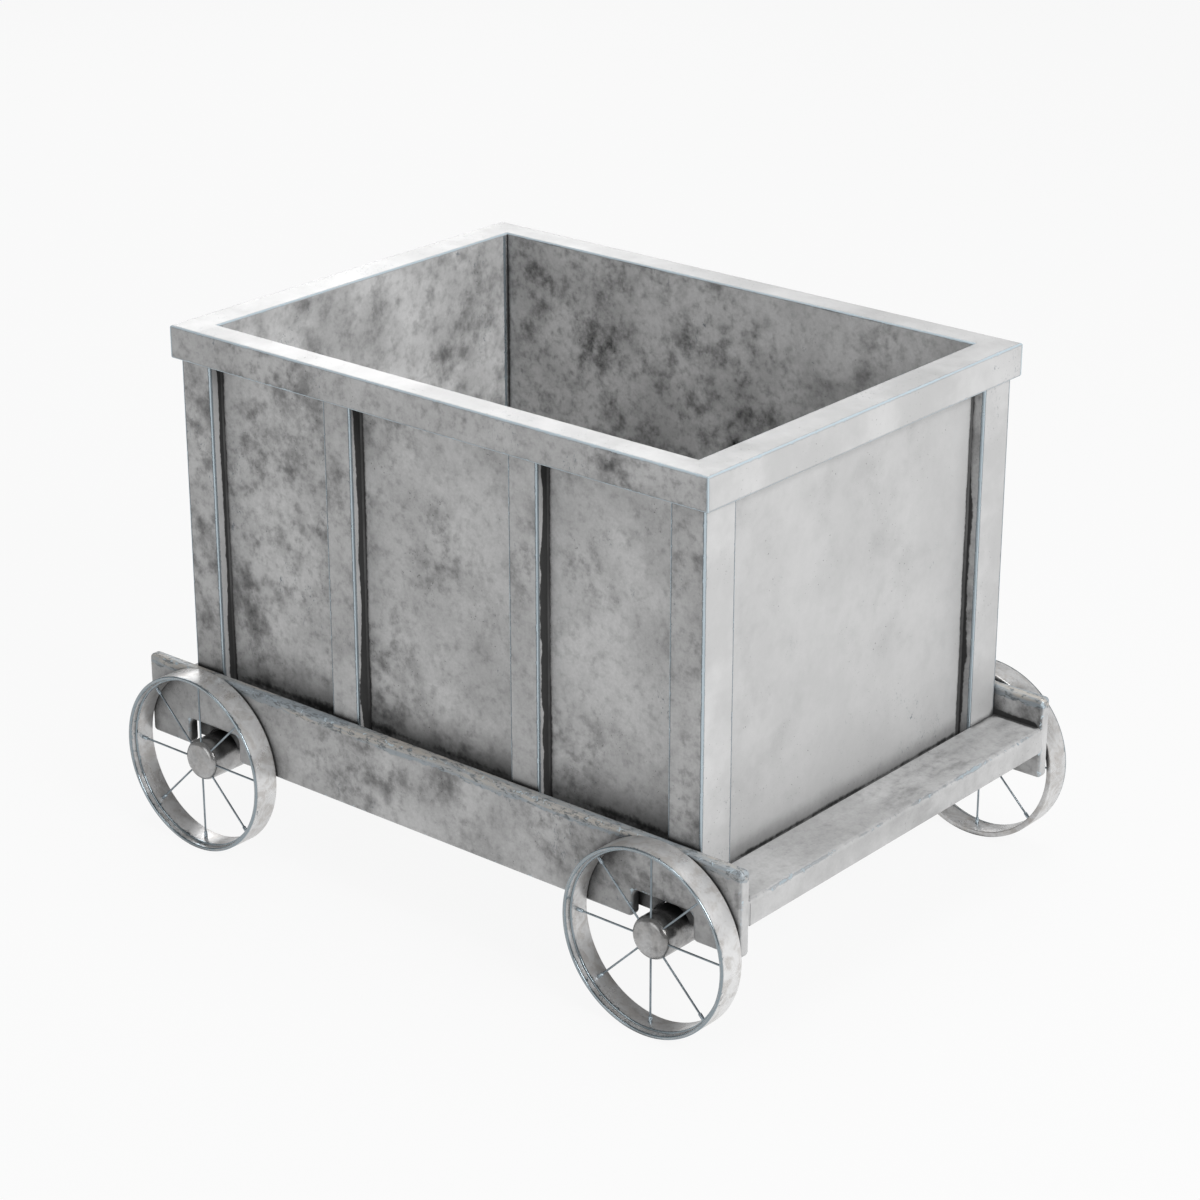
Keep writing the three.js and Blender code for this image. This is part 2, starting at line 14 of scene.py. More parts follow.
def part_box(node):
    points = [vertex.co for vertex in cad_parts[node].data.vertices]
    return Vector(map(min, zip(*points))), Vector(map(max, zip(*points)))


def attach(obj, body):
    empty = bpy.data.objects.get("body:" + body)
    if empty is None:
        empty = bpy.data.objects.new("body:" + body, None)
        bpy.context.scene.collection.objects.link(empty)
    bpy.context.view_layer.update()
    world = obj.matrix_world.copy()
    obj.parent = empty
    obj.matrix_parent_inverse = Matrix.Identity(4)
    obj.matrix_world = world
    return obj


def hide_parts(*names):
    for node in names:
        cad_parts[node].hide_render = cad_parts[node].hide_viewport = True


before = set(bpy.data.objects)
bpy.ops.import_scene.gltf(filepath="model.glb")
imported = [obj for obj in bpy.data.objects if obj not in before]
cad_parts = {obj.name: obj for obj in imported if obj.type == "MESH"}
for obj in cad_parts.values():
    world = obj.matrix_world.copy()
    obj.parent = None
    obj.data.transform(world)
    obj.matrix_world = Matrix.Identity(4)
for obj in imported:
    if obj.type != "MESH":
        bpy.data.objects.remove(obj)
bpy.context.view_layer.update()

MM = 0.001
ENDS = (("front", 1), ("rear", -1))
SIDES = (("left", 1), ("right", -1))
QUARTERS = [(end, sx, side, sy) for end, sx in ENDS for side, sy in SIDES]

# Camera: where it looks, and from where.
CAMERA_TARGET = Vector((0.0145, 0.0024, 0.4748))
CAMERA_AZIMUTH = 40.01
CAMERA_ELEVATION = 22.40
CAMERA_DISTANCE = 5.75
CAMERA_LENS = 96.18

# Rounding and fine sizes that the frame's boxes don't give.
SHEET = 4 * MM
SHEET_EDGE = 2.4 * MM
RIM_EDGE = 4 * MM
RAIL_EDGE = 7.5 * MM
RAIL_CORNER = 8.5 * MM
NOTCH_X = 526 * MM
NOTCH_HALF_WIDTH = 63.5 * MM
NOTCH_RISE = 51.5 * MM
NOTCH_TOP_RADIUS = 12 * MM
NOTCH_FOOT_RADIUS = 9 * MM
SILL_EDGE = 8 * MM
SILL_WALL = 5 * MM
SILL_FOOT_EDGE = 1.5 * MM
FILLET = 2.6 * MM
FILLET_HOLLOW = 0.42
WELD_LAP = 3 * MM
WELD_DEPTH = 6 * MM
SPOKE_RADIUS = 1.8 * MM
SPOKE_COUNT = 8
SPOKE_OFFSET = 480.5 * MM
SPOKE_ROOT = 3 * MM
NIPPLE_RADIUS = 3.2 * MM
NIPPLE_LENGTH = 13 * MM
NIPPLE_CHAMFER = 1.2 * MM
NIPPLE_SEAT = 0.4 * MM
HUB_RADIUS = 38.5 * MM
HUB_EDGE = 12 * MM
HUB_CHAMFER = 2 * MM
POCKET_RADIUS = 30 * MM
CAP_THICKNESS = 8 * MM
SPIGOT_GAP = 0.3 * MM
SPIGOT_WALL = 4 * MM
WHEEL_LIP = 6.2 * MM
WHEEL_BAND = 10.5 * MM
WHEEL_REBATE = 10 * MM
WHEEL_STEPS = 144
HUB_STEPS = 72
ROD_SIDES = 14
FLOOR_REACH = 40
SAME_PLACE = 1e-6


# ---- The cart's levels, from the frame -------------------------------------------------------

RAIL_LOW, RAIL_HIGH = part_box("side_rail_left")
POST_LOW, POST_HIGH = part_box("corner_post_front_left")
BATTEN_LOW, BATTEN_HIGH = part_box("side_batten_front_left")
SIDE_SKIN_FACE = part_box("side_skin_left")[1].y
END_SKIN_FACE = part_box("end_skin_front")[1].x
AXLE_X = (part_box("axle_front")[0].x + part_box("axle_front")[1].x) / 2
WHEEL_LOW, WHEEL_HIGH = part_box("wheel_rim_front_left")
WHEEL_RADIUS = (WHEEL_HIGH.z - WHEEL_LOW.z) / 2
LIP_RADIUS = WHEEL_RADIUS - WHEEL_LIP
BAND_RADIUS = WHEEL_RADIUS - WHEEL_BAND
RIM_LOW, RIM_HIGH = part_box("rim_left")
RIM_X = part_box("rim_front")[1].x
MOUTH_X, MOUTH_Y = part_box("rim_front")[0].x, RIM_LOW.y
SILL_LOW, SILL_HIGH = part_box("end_sill_front")
NOTCH_TOP = RAIL_LOW.z + NOTCH_RISE
NOTCH_START, NOTCH_STOP = NOTCH_X - NOTCH_HALF_WIDTH, NOTCH_X + NOTCH_HALF_WIDTH


# ---- Meshes ----------------------------------------------------------------------------------


def unit(a, b):
    """The unit vector from point a to point b in the plane."""
    dx, dy = b[0] - a[0], b[1] - a[1]
    length = math.hypot(dx, dy)
    return dx / length, dy / length


def arc(centre, radius, start, stop, steps):
    """Points on an arc in the plane, angles in radians."""
    angles = [start + (stop - start) * k / steps for k in range(steps + 1)]
    return [(centre[0] + radius * math.cos(a), centre[1] + radius * math.sin(a)) for a in angles]


def rounded(corners, steps=5):
    """Outline points from corners (x, y, radius), each non-zero radius turned into an arc."""
    points = []
    for i, corner in enumerate(corners):
        x, y, radius = corner if len(corner) == 3 else (*corner, 0)
        if not radius:
            points.append((x, y))
            continue
        inx, iny = unit(corners[i - 1], (x, y))
        outx, outy = unit((x, y), corners[(i + 1) % len(corners)])
        turn = math.copysign(1, inx * outy - iny * outx)
        angle = math.acos(max(-1, min(1, inx * outx + iny * outy)))
        setback = radius * math.tan(angle / 2)
        centre = (x - inx * setback - iny * turn * radius, y - iny * setback + inx * turn * radius)
        start = math.atan2(y - iny * setback - centre[1], x - inx * setback - centre[0])
        points.extend(arc(centre, radius, start, start + turn * angle, steps))
    return points


def piece(name, mesh, material, slot, body, *nodes):
    """A new object that rides on a body, takes the material as its finish and stands for CAD nodes; the
    slot is not used.
    """
    made = bpy.data.objects.new(name, mesh)
    bpy.context.scene.collection.objects.link(made)
    mesh.materials.append(material)
    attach(made, body)
    if nodes:
        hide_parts(*nodes)
    return made


def mesh_of(name, bm, smooth_angle=35):
    """A mesh from bm, shaded smooth except over edges sharper than the angle."""
    bmesh.ops.recalc_face_normals(bm, faces=bm.faces)
    mesh = bpy.data.meshes.new(name)
    bm.to_mesh(mesh)
    bm.free()
    mesh.shade_smooth()
    mesh.set_sharp_from_angle(angle=math.radians(smooth_angle))
    return mesh


def prism(outline, low, high, axes, edge=0, edge_steps=3):
    """The outline drawn out from low to high along the third of axes, its two rims rounded off."""
    a, b, c = axes
    bm = bmesh.new()
    ring = []
    for u, v in outline:
        point = Vector()
        point[a], point[b], point[c] = u, v, low
        ring.append(bm.verts.new(point))
    face = bm.faces.new(ring)
    drawn = bmesh.ops.extrude_face_region(bm, geom=[face])
    moved = [g for g in drawn["geom"] if isinstance(g, bmesh.types.BMVert)]
    shift = Vector()
    shift[c] = high - low
    bmesh.ops.translate(bm, verts=moved, vec=shift)
    if edge:
        rims = [e for e in bm.edges if abs(e.verts[0].co[c] - e.verts[1].co[c]) < SAME_PLACE]
        bmesh.ops.bevel(bm, geom=rims, offset=edge, segments=edge_steps, profile=0.5, affect="EDGES")
    return bm


def weighted(made):
    """Flat faces keep flat shading beside their rounded edges."""
    modifier = made.modifiers.new("weighted_normals", "WEIGHTED_NORMAL")
    modifier.keep_sharp = True
    return made


def lathed(profile, steps, centre, closed=True):
    """A body of revolution about the line along Y through centre, from points (radius, y)."""
    bm = bmesh.new()
    rings = []
    for k in range(steps):
        angle = 2 * math.pi * k / steps
        rings.append([
            bm.verts.new((centre.x + r * math.sin(angle), y, centre.z + r * math.cos(angle)))
            for r, y in profile
        ])
    count = len(profile)
    spans = count if closed else count - 1
    for k in range(steps):
        near, far = rings[k], rings[(k + 1) % steps]
        for i in range(spans):
            j = (i + 1) % count
            bm.faces.new((near[i], near[j], far[j], far[i]))
    bmesh.ops.remove_doubles(bm, verts=bm.verts, dist=SAME_PLACE)
    return bm


# ---- Material nodes --------------------------------------------------------------------------

# Near-black for painted shade in crevices, creases and feet.
SHADE_BLACK = (0.012, 0.012, 0.012, 1)
BROWN = (0.27, 0.235, 0.20, 1)
TAN = (0.38, 0.355, 0.32, 1)
SLATE = (0.26, 0.295, 0.32, 1)
DARK_SCALE = (0.10, 0.115, 0.125, 1)
BLUE_DARK = (0.095, 0.12, 0.14, 1)
BLUE_EDGE = (0.44, 0.515, 0.56)
SEED_STEP = (1.7, 2.3, 0.9)
OCCLUSION_SAMPLES = 8
MIX_INPUTS, MIX_OUTPUT = (0, 6, 7), 2  # the factor's and colours' sockets, whose names repeat
SPECULAR = 0.3
ALONG, UP = (1, 0, 0), (0, 0, 1)


class Tree:
    """Builds one material's nodes. Its methods return output sockets."""

    def __init__(self, name, seed):
        self.material = bpy.data.materials.new(name)
        self.material.use_nodes = True
        self.nodes = self.material.node_tree.nodes
        self.links = self.material.node_tree.links
        self.shader = self.nodes["Principled BSDF"]
        self.position = self.add("ShaderNodeTexCoord").outputs["Object"]
        place = self.add("ShaderNodeMapping")
        place.inputs["Location"].default_value = [seed * step for step in SEED_STEP]
        self.link(self.position, place.inputs["Vector"])
        self.place = place.outputs["Vector"]

    def add(self, kind, **settings):
        """A new node of a kind, with its settings."""
        node = self.nodes.new(kind)
        for key, value in settings.items():
            setattr(node, key, value)
        return node

    def link(self, source, target):
        """Feeds a socket, or sets a fixed value, into the target socket."""
        if isinstance(source, bpy.types.NodeSocket):
            self.links.new(source, target)
        else:
            target.default_value = source

    def vector(self, operation, a, b=None):
        node = self.add("ShaderNodeVectorMath", operation=operation)
        self.link(a, node.inputs[0])
        if b is not None:
            self.link(b, node.inputs[1])
        return node.outputs["Value" if operation in ("LENGTH", "DOT_PRODUCT") else "Vector"]

    def math(self, operation, a, b=0.0):
        node = self.add("ShaderNodeMath", operation=operation)
        self.link(a, node.inputs[0])
        self.link(b, node.inputs[1])
        return node.outputs["Value"]

    def noise(self, scale, detail=4, roughness=0.6, distortion=0.0, stretch=(1, 1, 1)):
        """A cloudy pattern of mean 0.5, drawn out where stretch is under 1."""
        at = self.place if stretch == (1, 1, 1) else self.vector("MULTIPLY", self.place, stretch)
        node = self.add("ShaderNodeTexNoise")
        self.link(at, node.inputs["Vector"])
        node.inputs["Scale"].default_value = scale
        node.inputs["Detail"].default_value = detail
        node.inputs["Roughness"].default_value = roughness
        node.inputs["Distortion"].default_value = distortion
        return node.outputs["Fac"]

    def span(self, value, low, high, out_low=0.0, out_high=1.0):
        """value taken smoothly from low..high to out_low..out_high."""
        node = self.add("ShaderNodeMapRange", interpolation_type="SMOOTHSTEP")
        for socket, number in zip(node.inputs, (value, low, high, out_low, out_high)):
            self.link(number, socket)
        return node.outputs["Result"]

    def wander(self, scale, reach, detail=4):
        """A pattern that swings by reach to either side of zero."""
        return self.math("MULTIPLY", self.math("SUBTRACT", self.noise(scale, detail), 0.5), 2 * reach)

    def dim(self, value, mask, strength):
        """value, made darker by strength where mask is 1."""
        kept = self.math("SUBTRACT", 1.0, self.math("MULTIPLY", mask, strength))
        return self.math("MULTIPLY", value, kept)

    def mix(self, factor, a, b):
        """Colour a, turning into colour b as factor rises to 1."""
        node = self.add("ShaderNodeMix", data_type="RGBA")
        for index, part in zip(MIX_INPUTS, (factor, a, b)):
            self.link(part, node.inputs[index])
        return node.outputs[MIX_OUTPUT]

    def scale(self, value, colour):
        """The colour, scaled by value."""
        node = self.add("ShaderNodeVectorMath", operation="SCALE")
        node.inputs[0].default_value = colour
        self.link(value, node.inputs["Scale"])
        return node.outputs["Vector"]

    def occlusion(self, distance):
        """1 in the open and less in crevices, looking no further than distance."""
        node = self.add("ShaderNodeAmbientOcclusion", samples=OCCLUSION_SAMPLES)
        node.inputs["Distance"].default_value = distance
        return node.outputs["AO"]

    def along(self, direction):
        """How far a point lies along a direction."""
        return self.vector("DOT_PRODUCT", self.position, direction)

    def away_from(self, bars):
        """The distance to the nearest of some bars, mirrored in both of the cart's planes.

        A bar is a pair of opposite corners, the lower one first, and may have no width at all.
        """
        mirrored = self.vector("ABSOLUTE", self.position)
        nearest = None
        for low, high in bars:
            middle, half = (Vector(low) + Vector(high)) / 2, (Vector(high) - Vector(low)) / 2
            offset = self.vector("ABSOLUTE", self.vector("SUBTRACT", mirrored, middle))
            outside = self.vector("MAXIMUM", self.vector("SUBTRACT", offset, half), (0, 0, 0))
            nearest = self.nearer(nearest, self.vector("LENGTH", outside))
        return nearest

    def away_from_rings(self, rings):
        """The distance to the nearest ring (radius, y) about the wheel axes, mirrored as above."""
        mirrored = self.vector("ABSOLUTE", self.position)
        offset = self.vector("SUBTRACT", mirrored, (AXLE_X, 0, WHEEL_HIGH.z / 2))
        radius = self.vector("LENGTH", self.vector("MULTIPLY", offset, (1, 0, 1)))
        level = self.vector("DOT_PRODUCT", offset, (0, 1, 0))
        nearest = None
        for ring_radius, ring_level in rings:
            out = self.math("POWER", self.math("SUBTRACT", radius, ring_radius), 2.0)
            up = self.math("POWER", self.math("SUBTRACT", level, ring_level), 2.0)
            nearest = self.nearer(nearest, self.math("SQRT", self.math("ADD", out, up)))
        return nearest

    def nearer(self, a, b):
        """The smaller of two distances, where the first may be missing."""
        return b if a is None else self.math("MINIMUM", a, b)

    def relief(self, height, strength, distance):
        """Bumps on the surface, raised where height is high."""
        bump = self.add("ShaderNodeBump")
        bump.inputs["Strength"].default_value = strength
        bump.inputs["Distance"].default_value = distance
        self.link(height, bump.inputs["Height"])
        self.link(bump.outputs["Normal"], self.shader.inputs["Normal"])


def patina(t, light, dark, spots, stains, rear, ends, tops, drag):
    """Cloudy grey, with soft dark spots and stains that crowd into a few zones, fewer on ends and tops.
    """
    tone = t.span(t.noise(6, 6, 0.6), 0.36, 0.64, dark, light)

    # Where spots gather: in zones and towards the rear. End and top faces lose most of their spots as a
    # painted highlight, painted plainer and lighter where light washes over them.
    zone = t.math("SUBTRACT", t.noise(3.1, 3, 0.5), t.math("MULTIPLY", t.along(ALONG), rear))
    facing = t.vector("ABSOLUTE", t.add("ShaderNodeNewGeometry").outputs["Normal"])
    keep_ends = t.span(t.vector("DOT_PRODUCT", facing, ALONG), 0.5, 0.9, 1.0, ends)
    keep_tops = t.span(t.vector("DOT_PRODUCT", facing, UP), 0.5, 0.9, 1.0, tops)
    keep = t.math("MINIMUM", keep_ends, keep_tops)
    where = t.math("MULTIPLY", t.span(zone, 0.42, 0.60, 0.22, 1.0), keep)

    # Stains, large spots, small spots, a fine mottle and a few dark specks.
    stain = t.span(t.noise(8, 6, 0.62, 0.0, drag), 0.50, 0.74)
    large = t.span(t.noise(21, 5, 0.6, 0.0, drag), 0.44, 0.76)
    small = t.span(t.noise(58, 5, 0.62), 0.44, 0.80)
    tone = t.dim(tone, t.math("MULTIPLY", stain, where), stains)
    tone = t.dim(tone, t.math("MULTIPLY", large, where), spots)
    spotty = t.math("MULTIPLY", keep, t.span(where, 0.0, 1.0, 0.55, 1.0))
    tone = t.dim(tone, t.math("MULTIPLY", small, spotty), spots * 0.75)
    tone = t.dim(tone, t.math("MULTIPLY", t.noise(190, 3, 0.7), keep), 0.32)
    specks = t.math("MULTIPLY", t.span(t.noise(230, 2), 0.68, 0.72), t.span(t.noise(8, 2), 0.52, 0.6))
    return t.dim(tone, specks, 0.6)


def crease_shade(t, creases, width, sway):
    """1 in a band of painted shade along each crease, whose edge sways and frays."""
    out = t.math("MULTIPLY", t.away_from(creases), t.span(t.noise(4, 3), 0.3, 0.7, 0.75, 1.5))
    out = t.math("ADD", out, t.wander(35, sway))
    out = t.math("ADD", out, t.wander(130, 2.5 * MM))
    return t.span(out, *width, 1.0, 0.0)


def foot_shade(t, feet, height):
    """1 in painted shade along each foot, fading out above it into a long haze."""
    level = t.math("SUBTRACT", t.away_from(feet), t.wander(30, 0.5 * height, 6))
    level = t.math("SUBTRACT", level, t.wander(110, 0.55 * height, 3))
    level = t.math("ADD", level, t.wander(5.5, 1.6 * height, 3))
    deep_shade = t.math("POWER", t.span(level, -0.3 * height, 1.6 * height, 1.0, 0.0), 2.0)
    level = t.math("SUBTRACT", level, t.wander(9, 2 * height))
    return t.math("MAXIMUM", deep_shade, t.span(level, 0.0, 5 * height, 0.5, 0.0))


def galvanised(name, seed, light=0.52, dark=0.42, spots=0.42, stains=0.55, rear=0.0, ends=0.2, tops=0.8,
               hue=(1, 1, 1), rust=0.0, drag=(1, 1, 1), chips=0.7,
               edges=(), rings=(), edge_width=3.5 * MM, edge_level=1.0, edge_border=0.8,
               edge_metal=0.95, edge_patches=1 * MM, edge_flakes=3.2 * MM,
               creases=(), crease_width=(4 * MM, 8 * MM), crease_sway=2 * MM,
               feet=(), foot_height=18 * MM, crevice=(0.02, 0.50, 0.72),
               layer=None, roughness=(0.42, 0.60), metallic=0.25, bump=0.2):
    """Weathered zinc: a patina with edges worn to blue metal, and painted shade black in its creases.

    The edge settings place the wear, and the crease and foot settings place painted shade, along bars
    or rings; layer(t) is 1 where the banded layers show, and crevice holds the reach and the black
    and clear ends of the occlusion that paints shade.
    """
    t = Tree(name, seed)
    colour = t.scale(patina(t, light, dark, spots, stains, rear, ends, tops, drag), hue)
    if rust:
        streak = t.span(t.noise(34, 6, 0.7, 0.8), 0.42, 0.62, 0.0, rust)
        colour = t.mix(streak, colour, BROWN)
    if chips:
        chipped = t.math("MULTIPLY", t.span(t.noise(150, 4, 0.7, 1.5, (1, 1, 0.5)), 0.60, 0.64),
                         t.span(t.noise(7, 3), 0.60, 0.66))
        colour = t.mix(t.math("MULTIPLY", chipped, chips), colour, BLUE_DARK)
    if layer:
        colour = t.mix(t.math("MULTIPLY", t.span(layer(t), 0.2, 0.8), 0.85), colour, banded(t))

    near = t.away_from(edges) if edges else 1.0
    if rings:
        near = t.nearer(near, t.away_from_rings(rings))
    flakes = t.math("MULTIPLY", t.span(t.noise(85, 4, 0.65, 0.8), 0.54, 0.66), edge_flakes)
    near = t.math("ADD", near, t.wander(13, edge_patches, 3))
    ragged = t.math("SUBTRACT", t.math("ADD", near, t.wander(170, 0.9 * MM)), flakes)
    shine = t.span(ragged, edge_width - 0.5 * MM, edge_width + 0.3 * MM, 1.0, 0.0)
    border = t.span(ragged, edge_width + 0.8 * MM, edge_width + 2.2 * MM, 1.0, 0.0)
    colour = t.mix(t.math("MULTIPLY", border, edge_border), colour, BLUE_DARK)
    colour = t.mix(shine, colour, (*[part * edge_level for part in BLUE_EDGE], 1))

    gap, black, clear = crevice
    # Painted shade: the occlusion paints the colour black in crevices, between parts and under
    # overhangs.
    shade = t.math("ADD", t.occlusion(gap), t.wander(45, 0.12))
    painted_shade = t.span(shade, black, clear, 1.0, 0.0)
    # A band of painted shade along each crease.
    if creases:
        painted_shade = t.math("MAXIMUM", painted_shade, crease_shade(t, creases, crease_width, crease_sway))
    # Painted shade along each foot.
    if feet:
        painted_shade = t.math("MAXIMUM", painted_shade, foot_shade(t, feet, foot_height))
    # The painted shade from occlusion, creases and feet, mixed in as near-black colour.
    colour = t.mix(t.math("MULTIPLY", painted_shade, 0.95), colour, SHADE_BLACK)

    t.link(colour, t.shader.inputs["Base Color"])
    t.link(t.dim(t.span(shine, 0.0, 1.0, metallic, edge_metal), painted_shade, 0.9), t.shader.inputs["Metallic"])
    t.shader.inputs["Specular IOR Level"].default_value = SPECULAR
    rough = t.span(t.noise(18, 5, 0.65), 0.3, 0.7, *roughness)
    rough = t.math("ADD", rough, t.math("MULTIPLY", painted_shade, 0.3))
    rough = t.math("SUBTRACT", rough, t.math("MULTIPLY", shine, 0.18))
    t.link(rough, t.shader.inputs["Roughness"])
    t.relief(t.math("ADD", t.noise(60, 6, 0.65), t.math("MULTIPLY", t.noise(260, 3), 0.3)),
             bump, 1.0 * MM)
    return t.material


def banded(t):
    """Tan, blue and dark layers drawn out along X, as on the worn top of a rail."""
    layers = t.noise(26, 5, 0.7, 0.6, (0.12, 1.4, 1.4))
    flakes = t.noise(130, 6, 0.75, 0.5, (0.45, 1, 1))
    colour = t.mix(t.span(layers, 0.40, 0.54), TAN, SLATE)
    return t.mix(t.span(flakes, 0.51, 0.60), colour, DARK_SCALE)


def plain_metal(name, seed, light, dark, metallic, roughness, hue=(1, 1, 1)):
    """Machined or cast metal with a slight stain, darkened by painted shade in its crevices."""
    t = Tree(name, seed)
    tone = t.span(t.noise(60, 5, 0.65), 0.35, 0.7, light, dark)
    # Painted shade: the occlusion darkens the tone where other parts crowd it.
    tone = t.dim(tone, t.span(t.occlusion(0.02), 0.35, 0.7, 1.0, 0.0), 0.9)
    t.link(t.scale(tone, hue), t.shader.inputs["Base Color"])
    t.shader.inputs["Metallic"].default_value = metallic
    t.link(t.span(t.noise(90, 3), 0.3, 0.7, *roughness), t.shader.inputs["Roughness"])
    t.relief(t.noise(400, 3), 0.2, 0.4 * MM)
    return t.material


# ---- Finishes --------------------------------------------------------------------------------

# Where wear and painted shade keep to, as distances from the pieces' own levels.
FOLD_DEPTH = 1.5 * MM
POST_CREASE_DEPTH = 6 * MM
RAIL_CREASE_STOP = 18 * MM
LINER_EDGE_INSET = 8 * MM
SKIN_FOOT_DEPTH = 12 * MM
END_FOOT_DEPTH = 17 * MM


def upright(x, y, low=0.0, high=1.0):
    """A bar along Z at x, y."""
    return (x, y, low), (x, y, high)


def lengthwise(y, z, stop, start=0.0):
    """A bar along X at y, z."""
    return (start, y, z), (stop, y, z)


def crosswise(x, z, stop):
    """A bar along Y at x, z, from the middle of the cart."""
    return (x, 0.0, z), (x, stop, z)


# Creases, along which bands of painted shade are laid.
CREASES = [
    upright(POST_LOW.x, SIDE_SKIN_FACE),
    upright(BATTEN_LOW.x, SIDE_SKIN_FACE),
    upright(BATTEN_HIGH.x, SIDE_SKIN_FACE),
    upright(END_SKIN_FACE, POST_LOW.y),
]
POST_CREASES = [
    upright(POST_LOW.x, SIDE_SKIN_FACE),
    upright(END_SKIN_FACE - POST_CREASE_DEPTH, POST_LOW.y),
]
FOLDS = [
    upright(BATTEN_LOW.x, BATTEN_HIGH.y - FOLD_DEPTH),
    upright(BATTEN_HIGH.x, BATTEN_HIGH.y - FOLD_DEPTH),
    upright(POST_LOW.x, POST_HIGH.y - FOLD_DEPTH),
    upright(POST_HIGH.x, POST_HIGH.y),
    upright(POST_HIGH.x - FOLD_DEPTH, POST_LOW.y),
]
RIM_EDGES = [
    lengthwise(RIM_HIGH.y, RIM_HIGH.z, RIM_X),
    lengthwise(RIM_HIGH.y, RIM_LOW.z, RIM_X),
    crosswise(RIM_X, RIM_HIGH.z, RIM_HIGH.y),
    crosswise(RIM_X, RIM_LOW.z, RIM_HIGH.y),
    upright(RIM_X, RIM_HIGH.y),
    lengthwise(MOUTH_Y, RIM_HIGH.z, MOUTH_X),
    crosswise(MOUTH_X, RIM_HIGH.z, MOUTH_Y),
]
RAIL_EDGES = [
    lengthwise(RAIL_HIGH.y, RAIL_HIGH.z, RAIL_HIGH.x),
    lengthwise(RAIL_HIGH.y, RAIL_LOW.z, NOTCH_START),
    lengthwise(RAIL_HIGH.y, RAIL_LOW.z, RAIL_HIGH.x, NOTCH_STOP),
    lengthwise(RAIL_HIGH.y, NOTCH_TOP, NOTCH_STOP, NOTCH_START),
    upright(NOTCH_START, RAIL_HIGH.y, RAIL_LOW.z, NOTCH_TOP),
    upright(NOTCH_STOP, RAIL_HIGH.y, RAIL_LOW.z, NOTCH_TOP),
    upright(RAIL_HIGH.x, RAIL_HIGH.y),
    upright(RAIL_HIGH.x, RAIL_LOW.y),
]
# The creases where the sills meet the rails, along which painted shade is laid.
RAIL_CREASES = [lengthwise(RAIL_LOW.y, SILL_HIGH.z, RAIL_HIGH.x - RAIL_CREASE_STOP, SILL_LOW.x)]
SILL_CREASES = [lengthwise(RAIL_LOW.y, SILL_HIGH.z, SILL_HIGH.x - 2 * SILL_EDGE, SILL_LOW.x)]
SILL_EDGES = [crosswise(SILL_HIGH.x, SILL_HIGH.z, SILL_HIGH.y)]
WHEEL_EDGES = [
    (WHEEL_RADIUS, WHEEL_HIGH.y),
    (LIP_RADIUS, WHEEL_HIGH.y),
    (BAND_RADIUS, WHEEL_HIGH.y - WHEEL_REBATE),
]
# Feet above the rails and the sills, along which painted shade is laid.
SKIN_FOOT = [lengthwise(SIDE_SKIN_FACE, RAIL_HIGH.z - SKIN_FOOT_DEPTH, POST_LOW.x)]
END_FOOT = [crosswise(END_SKIN_FACE, SILL_HIGH.z - END_FOOT_DEPTH, POST_LOW.y)]


def rail_top(t):
    """1 on the rail's rounded top."""
    height = t.math("ADD", t.along(UP), t.wander(70, 7 * MM))
    height = t.math("ADD", height, t.wander(11, 12 * MM))
    return t.span(height, RAIL_HIGH.z - 2.6 * RAIL_EDGE, RAIL_HIGH.z - 1.9 * RAIL_EDGE)


SKIN = galvanised("zinc_skin", 1, light=0.58, dark=0.46, spots=0.68, stains=0.8, rear=0.13,
                  creases=CREASES, feet=SKIN_FOOT)
END_SKIN = galvanised("zinc_end_skin", 2, light=0.47, dark=0.43, creases=CREASES, feet=END_FOOT,
                      foot_height=8 * MM)
BATTEN = galvanised("zinc_batten", 3, light=0.51, dark=0.42, spots=0.68, stains=0.75, rear=0.05,
                    ends=0.06, edges=FOLDS, edge_width=2.6 * MM, edge_level=0.95, edge_flakes=1 * MM,
                    creases=CREASES, crease_width=(17 * MM, 20 * MM), crease_sway=3.5 * MM)
POST = galvanised("zinc_post", 16, light=0.51, dark=0.42, spots=0.68, stains=0.75, rear=0.05,
                  ends=0.06, edges=FOLDS, edge_width=2.6 * MM, edge_flakes=1 * MM,
                  creases=POST_CREASES, crease_width=(12 * MM, 15 * MM), crease_sway=4 * MM)
LINER = galvanised("zinc_liner", 25, light=0.66, dark=0.48, spots=0.7, stains=1.1, rear=0.3, ends=0.7,
                   edges=[upright(MOUTH_X, MOUTH_Y - LINER_EDGE_INSET)], edge_width=2 * MM,
                   creases=[upright(MOUTH_X, MOUTH_Y)], crease_width=(2 * MM, 5 * MM))
RIM = galvanised("zinc_rim", 5, light=0.49, dark=0.41, spots=0.8, stains=0.85, ends=0.05, tops=0.12,
                 edges=RIM_EDGES, edge_width=2.6 * MM, edge_level=0.9, edge_border=0.3,
                 edge_metal=0.3, edge_flakes=1.5 * MM, roughness=(0.40, 0.45), bump=0.1)
RAIL = galvanised("zinc_rail", 6, light=0.54, dark=0.40, spots=0.68, stains=1.0, edges=RAIL_EDGES,
                  edge_width=2 * MM, edge_border=0.25, edge_metal=0.5, edge_flakes=4 * MM,
                  creases=RAIL_CREASES, crease_width=(10 * MM, 15 * MM),
                  crevice=(0.05, 0.30, 0.72), layer=rail_top)
SILL = galvanised("zinc_sill", 7, ends=0.5, tops=1.0, drag=(1.5, 0.5, 1), edges=SILL_EDGES,
                  edge_width=2 * MM, edge_level=0.78, edge_border=0.4, edge_metal=0.4,
                  edge_patches=7 * MM,
                  creases=SILL_CREASES, crease_width=(6 * MM, 13 * MM))
